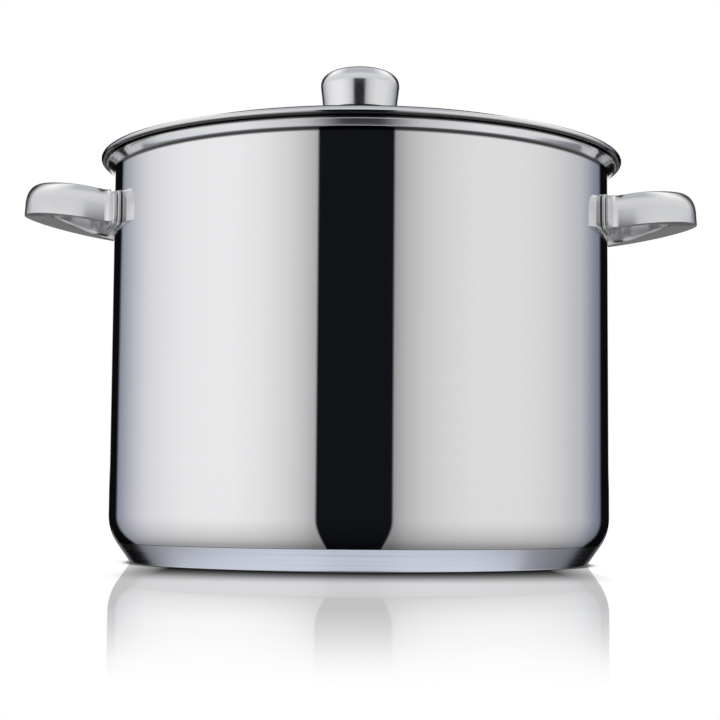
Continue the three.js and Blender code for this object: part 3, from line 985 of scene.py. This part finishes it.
def lifter(side, sign):
    """One lifting handle, leaning on the pot wall, with its two ends in the eyes."""
    low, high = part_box(f"rack_eye_{side}_front")
    pivot = (low + high) / 2
    up = Vector((sign * math.sin(LIFTER_LEAN), 0, math.cos(LIFTER_LEAN))) * LIFTER_LENGTH
    tip = LIFTER_HALF_WIDTH + LIFTER_STUB
    near = [Vector((pivot.x, y, pivot.z)) for y in (-tip, -LIFTER_HALF_WIDTH)]
    far = [Vector((p.x, -p.y, p.z)) for p in near[::-1]]
    corners = [*near, near[1] + up, far[0] + up, *far]
    bends = (LIFTER_FOOT_BEND, LIFTER_BEND, LIFTER_BEND, LIFTER_FOOT_BEND)
    piece = wire(f"rack_handle_{side}_loop", bent_path(corners, bends), WIRE)
    fit(piece, f"rack_handle_{side}", "rack_wire", f"rack_handle_{side}")


def eye(node):
    low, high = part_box(node)
    middle = (low + high) / 2
    turns = [2 * math.pi * k / EYE_STEPS for k in range(EYE_STEPS)]
    path = [middle + Vector((math.cos(t), 0, math.sin(t))) * EYE_RADIUS for t in turns]
    fit(wire(f"{node}_loop", path, EYE_WIRE, closed=True, sides=12), "rack", "rack_wire", node)


def lifters():
    for side, sign in (("right", 1), ("left", -1)):
        lifter(side, sign)
        eye(f"rack_eye_{side}_front")
        eye(f"rack_eye_{side}_back")


# ---------- studio ----------
CAMERA_DISTANCE = 1.1041
CAMERA_HEIGHT = 0.04182
CAMERA_PITCH = math.radians(4.655)
CAMERA_ROLL = math.radians(0.41)
CAMERA_TURN = math.radians(-0.3)
LENS = 84.635


def camera():
    data = bpy.data.cameras.new("camera")
    data.lens = LENS
    data.sensor_width = 36.0
    data.clip_start = 0.01
    data.clip_end = 50.0
    obj = bpy.data.objects.new("camera", data)
    bpy.context.scene.collection.objects.link(obj)
    stand = Matrix.Rotation(CAMERA_TURN, 4, "Z") @ Matrix.Translation((0, -CAMERA_DISTANCE, CAMERA_HEIGHT))
    aim = Matrix.Rotation(QUARTER + CAMERA_PITCH, 4, "X") @ Matrix.Rotation(CAMERA_ROLL, 4, "Z")
    obj.matrix_world = stand @ aim
    bpy.context.scene.camera = obj


def around(stops):
    """Stops given in degrees from the front, -180 to 180, as ramp places."""
    return [(0.5 + degrees / 360, shade) for degrees, shade in stops]


def level(degrees):
    """An angle above the horizontal as a ramp place."""
    return 0.5 + degrees / 180


def levels(stops):
    """Stops given in degrees above the horizontal, as ramp places."""
    return [(level(degrees), shade) for degrees, shade in stops]


WHITE = (1.0, 1.0, 1.0)
# Lights seen in the sides, by twice the turn of the surface that mirrors them forwards.
SIDE_BOXES = around([
    (-150, 0.004), (-146.5, 0.02), (-142.5, (0.26, 0.29, 0.36)), (-137.5, (0.34, 0.365, 0.42)),
    (-129, (0.48, 0.50, 0.55)), (-122, (0.62, 0.625, 0.665)), (-111, (0.79, 0.79, 0.82)),
    (-101, (0.88, 0.88, 0.90)), (-85, 0.97), (-70, 1.0), (-58, 1.0), (-43.5, 0.925), (-32.5, 0.795),
    (-27, 0.70), (-23.5, 0.62), (-19.5, 0.50), (14, 0.38), (15.7, 0.43), (20, 0.565), (28, 0.70),
    (39, 0.81), (53, 0.875), (75, 0.87), (90, 0.81), (103, 0.71), (112.6, (0.61, 0.62, 0.65)),
    (118.3, (0.55, 0.565, 0.60)), (124.5, (0.43, 0.445, 0.50)), (131.5, (0.29, 0.305, 0.37)),
    (139.5, (0.20, 0.22, 0.28)), (143.5, 0.01), (150, 0.004),
])
CAP_LIGHT = around([
    (-127, 0.0), (-123, (0.2, 0.21, 0.23)), (-114, (0.50, 0.53, 0.58)), (-100, (0.80, 0.84, 0.92)),
    (-65, (0.88, 0.92, 1.01)), (0, (0.96, 1.0, 1.09)), (55, (0.94, 0.98, 1.07)), (66, (0.89, 0.93, 1.02)),
    (84, (0.80, 0.84, 0.92)), (89, (0.46, 0.48, 0.53)), (104, (0.27, 0.28, 0.33)),
    (118, (0.20, 0.21, 0.25)), (127, 0.0),
])
LIP_LIGHT = around([
    (-134, 0.0), (-125, 0.30), (-104, 0.79), (-58, 0.94), (-26, 0.63), (-14, 0.20), (-9, 0.04), (9, 0.04),
    (14, 0.20), (26, 0.63), (58, 0.90), (104, 0.78), (125, 0.30), (134, 0.0),
])
FRONT_FLAG = around([(-80, 0.0), (-40, 0.8), (40, 0.8), (80, 0.0)])
# Lights by the lean of that surface.
FALL_OFF = levels([
    (-52, 0.01), (-48, 0.40), (-34.5, 0.36), (-30, 0.42), (-26, 0.56), (-22, 0.68), (-16, 0.79), (-11, 0.86),
    (-5, 0.95), (0, 1.0),
])
OVERHEAD = levels([
    (6, (0.70, 0.71, 0.73)), (15, (0.76, 0.765, 0.78)), (25, (0.84, 0.84, 0.85)), (35, 1.05), (45, 1.2),
])
CAP_BAND = (-38.6, -38.0, -35.2, -34.2)
LIP_BAND = (-53.0, -48.0, -38.6, -38.0)
WINDOW_BAND = (0.3, 1.0, 12.5, 14.0)  # by its own height

# The dark strip that the front mirrors, and the dark edges, as ramp places.
STRIP_MIDDLE = 0.5 - 2.4 / 360
STRIP_HALF_WIDTH = 16.7 / 360
STRIP_BLUR = 0.6 / 360
STRIP_TAPER = 1.0
STRIP_SHADE = (0.0070, 0.0082, 0.0108)
EDGE_START = 141.5 / 360  # from the front
EDGE_END = 146.5 / 360  # darkest from here on
EDGE_TAPER = 0.43  # how much sooner the lower corners turn dark at the sides
EDGE_SHADE = (0.004, 0.004, 0.005)
FLAG_SHADE = (0.40, 0.43, 0.46)
DARK_ROOM = (0.009, 0.010, 0.013)
FLOOR_GLOW = (0.20, 0.20, 0.205)


class Sky(Recipe):
    """The world's shader, with the angles that the studio's lights are placed by."""

    def __init__(self):
        world = bpy.data.worlds.new("studio")
        world.use_nodes = True
        bpy.context.scene.world = world
        self.tree = world.node_tree
        direction = self.node("ShaderNodeTexCoord").outputs["Generated"]
        turn, self.tilt = self.angles(self.facing(direction))
        self.turn = self.share(turn)
        self.lean = self.share(self.tilt)
        azimuth, elevation = self.angles(direction)
        self.azimuth = self.math("ABSOLUTE", azimuth)
        self.height = self.share(elevation)

    def facing(self, direction):
        """Where a surface must face to mirror this direction straight forwards."""
        offset = self.node("ShaderNodeVectorMath", operation="SUBTRACT")
        self.link(direction, offset.inputs[0])
        offset.inputs[1].default_value = (0.0, 1.0, 0.0)
        facing = self.node("ShaderNodeVectorMath", operation="NORMALIZE")
        self.link(offset.outputs[0], facing.inputs[0])
        return facing.outputs[0]

    def angles(self, direction):
        """The angle from the front and the angle above the horizontal, in radians."""
        x, y, z = self.axes(direction)
        return self.math("ARCTAN2", x, self.product(y, -1.0)), self.math("ARCSINE", z)

    def share(self, angle):
        """An angle as a ramp place."""
        return self.math("ADD", self.math("DIVIDE", angle, math.pi), 0.5)

    def tapered(self, value, taper):
        """The value, growing with the square of the tilt."""
        return self.product(value, self.math("ADD", 1.0, self.product(self.tilt, self.tilt, taper)))

    def band(self, value, degrees):
        """1 between the middle two angles and 0 beyond the outer two."""
        low_end, low, high, high_end = [level(angle) for angle in degrees]
        return self.product(self.step(value, low_end, low), self.step(value, high_end, high))

    def by_azimuth(self, start, end):
        return self.step(self.azimuth, math.radians(start), math.radians(end))

    def by_level(self, value, start, end):
        return self.step(value, level(start), level(end))


def side_lights(sky):
    """Light boxes at both sides, a dark strip in front, dark edges, and all of it dimmer lower down."""
    lit = sky.ramp(sky.turn, SIDE_BOXES)
    off_strip = sky.math("ABSOLUTE", sky.tapered(sky.math("SUBTRACT", sky.turn, STRIP_MIDDLE), STRIP_TAPER))
    clear = sky.step(off_strip, STRIP_HALF_WIDTH - STRIP_BLUR, STRIP_HALF_WIDTH + STRIP_BLUR)
    lit = sky.blend(clear, STRIP_SHADE, lit)
    off_front = sky.tapered(sky.math("ABSOLUTE", sky.math("SUBTRACT", sky.turn, 0.5)), EDGE_TAPER)
    lit = sky.blend(sky.step(off_front, EDGE_END, EDGE_START), EDGE_SHADE, lit)
    return sky.blend(1.0, lit, sky.ramp(sky.lean, FALL_OFF), "MULTIPLY")


def low_lights(sky, lit):
    """The floor's glow in the base cap, and the light under the flare."""
    lit = sky.blend(sky.band(sky.lean, CAP_BAND), lit, sky.ramp(sky.turn, CAP_LIGHT))
    return sky.blend(sky.band(sky.lean, LIP_BAND), lit, sky.ramp(sky.turn, LIP_LIGHT))


def ceiling(sky, lit):
    """A bright ceiling, with a grey flag high in front and a dark room low behind."""
    overhead = sky.ramp(sky.lean, OVERHEAD)
    flag = sky.product(sky.ramp(sky.turn, FRONT_FLAG), sky.by_level(sky.lean, 22, 34))
    rear = sky.product(sky.by_azimuth(125, 140), sky.by_level(sky.height, 45, 30))
    overhead = sky.blend(rear, sky.blend(flag, overhead, FLAG_SHADE), DARK_ROOM)
    return sky.blend(sky.by_level(sky.height, 12.6, 14.4), lit, overhead)


def rear_lights(sky, lit):
    """The far floor, and a white window behind the object, which the floor's gloss mirrors."""
    low = sky.product(sky.by_level(sky.height, -3.5, -5), sky.by_azimuth(160, 163))
    lit = sky.blend(low, lit, FLOOR_GLOW)
    window = sky.product(sky.band(sky.height, WINDOW_BAND), sky.by_azimuth(163, 167.5))
    return sky.blend(window, lit, WHITE)


def studio():
    """A white room to look at, which mirrors as light boxes and flags."""
    sky = Sky()
    lit = rear_lights(sky, ceiling(sky, low_lights(sky, side_lights(sky))))
    seen = sky.node("ShaderNodeLightPath").outputs["Is Camera Ray"]
    sky.link(sky.blend(seen, lit, WHITE), sky.tree.nodes["Background"].inputs["Color"])


FLOOR_HALF = 3.0
FLOOR_DROP = 0.0002
GLOSS = 0.46  # the most of the floor that mirrors
GLOSS_ROUGHNESS = 0.02
# Stops by distance from the pot's axis.
CAST_SHADOW = (
    (0.147, 0.01), (0.156, 0.03), (0.165, 0.06), (0.18, 0.13), (0.20, 0.28), (0.234, 0.65), (0.26, 0.92),
    (0.28, 1.0),
)
CONTACT_SHADOW = ((0.1470, 0.02), (0.1485, 0.25), (0.1515, 0.85), (0.155, 1.0))
GLOSS_FADE = ((0.45, 1.0), (0.52, 0.84), (0.58, 0.64), (0.63, 0.38), (0.67, 0.16), (0.72, 0.0))


def floor_shade(paint, x, y, radius):
    """White, with a narrow contact shadow and a soft one cast forwards."""
    ahead = paint.spread(y, 1.0, 0.0, -0.08, -0.03)
    beside = paint.spread(paint.math("ABSOLUTE", x), 1.0, 0.0, 0.112, 0.136)
    cast = paint.blend(paint.product(ahead, beside), WHITE, paint.ramp(radius, CAST_SHADOW))
    return paint.blend(1.0, cast, paint.ramp(radius, CONTACT_SHADOW), "DARKEN")


def floor_paint():
    """Shaded white with a gloss that shows at a grazing look and fades with distance, clear from below."""
    paint = Recipe("floor_paint")
    x, y, _ = paint.axes(paint.place())
    radius = paint.off_axis(x, y)
    shade = floor_shade(paint, x, y, radius)
    gaze = paint.node("ShaderNodeLayerWeight")
    gaze.inputs["Blend"].default_value = 0.5
    grazing = paint.step(gaze.outputs["Facing"], 0.80, 0.90)
    share = paint.product(grazing, paint.ramp(radius, GLOSS_FADE), GLOSS)
    white = paint.node("ShaderNodeEmission")
    paint.link(shade, white.inputs["Color"])
    gloss = paint.node("ShaderNodeBsdfGlossy")
    paint.link(shade, gloss.inputs["Color"])
    gloss.inputs["Roughness"].default_value = GLOSS_ROUGHNESS
    top = mixed_shaders(paint, share, white.outputs[0], gloss.outputs[0])
    below = paint.node("ShaderNodeNewGeometry").outputs["Backfacing"]
    clear = paint.node("ShaderNodeBsdfTransparent").outputs[0]
    sheet = mixed_shaders(paint, below, top, clear)
    paint.link(sheet, paint.tree.nodes["Material Output"].inputs["Surface"])
    return paint.material


def mixed_shaders(recipe, share, first, second):
    node = recipe.node("ShaderNodeMixShader")
    for socket, value in zip(node.inputs, (share, first, second)):
        recipe.link(value, socket)
    return node.outputs[0]


def floor():
    """A pale glossy floor, just under the object."""
    corners = [(-1, -1), (1, -1), (1, 1), (-1, 1)]
    points = [(FLOOR_HALF * a, FLOOR_HALF * b, -FLOOR_DROP) for a, b in corners]
    plane = mesh_object("floor", points, [(0, 1, 2, 3)])
    plane.data.materials.append(floor_paint())
    plane.visible_glossy = False


bpy.context.scene.view_settings.view_transform = "Standard"
camera()
studio()
floor()

pot_body()
base_cap()
base_core()
handle("right", 0.0)
handle("left", math.pi)
lid_glass()
vent_grommet()
lid_seal()
lid_band()
knob_shell()
knob_fittings()
rack_hoops()
rack_floor()
rack_dividers()
lifters()
